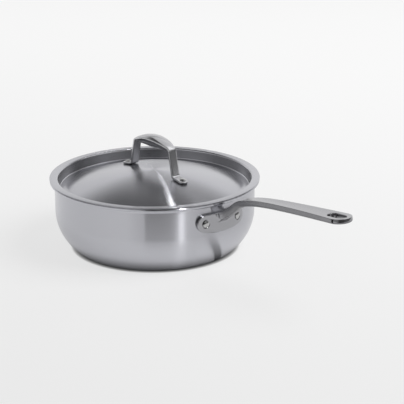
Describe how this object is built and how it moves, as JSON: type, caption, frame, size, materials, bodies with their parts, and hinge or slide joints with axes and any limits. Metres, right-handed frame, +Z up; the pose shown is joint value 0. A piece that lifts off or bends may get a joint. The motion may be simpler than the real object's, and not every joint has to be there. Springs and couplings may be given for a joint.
{
  "type": "saucier with lid",
  "caption": "Round-sided stainless steel saucier with a flared pouring lip, riveted long handle with hanging hole, and a domed drop-in lid with an arched grip.",
  "frame": {"origin": "centre of the flat base that the pan stands on", "axes": "+X along the long handle, away from the pan, +Z up out of the pan"},
  "size_m": [0.4611, 0.2604, 0.141],
  "materials": {
    "brushed_pan": "brushed round the axis",
    "satin_handle": "satin, polished at the tip",
    "brushed_lid": "brushed round the axis",
    "satin_lid_handle": "satin, polished",
    "polished_rivets": "polished"
  },
  "bodies": {
    "pan": {"pan_body": "brushed_pan", "pan_handle": "satin_handle", "pan_handle_rivet_left": "polished_rivets", "pan_handle_rivet_right": "polished_rivets"},
    "lid": {"lid_shell": "brushed_lid", "lid_handle": "satin_lid_handle", "lid_handle_rivet_front": "polished_rivets", "lid_handle_rivet_rear": "polished_rivets"}
  },
  "joints": [
    {"name": "lid_lift", "type": "slide", "parent": "pan", "child": "lid", "axis": [0, 0, 1], "range_m": [0, 0.12]}
  ]
}
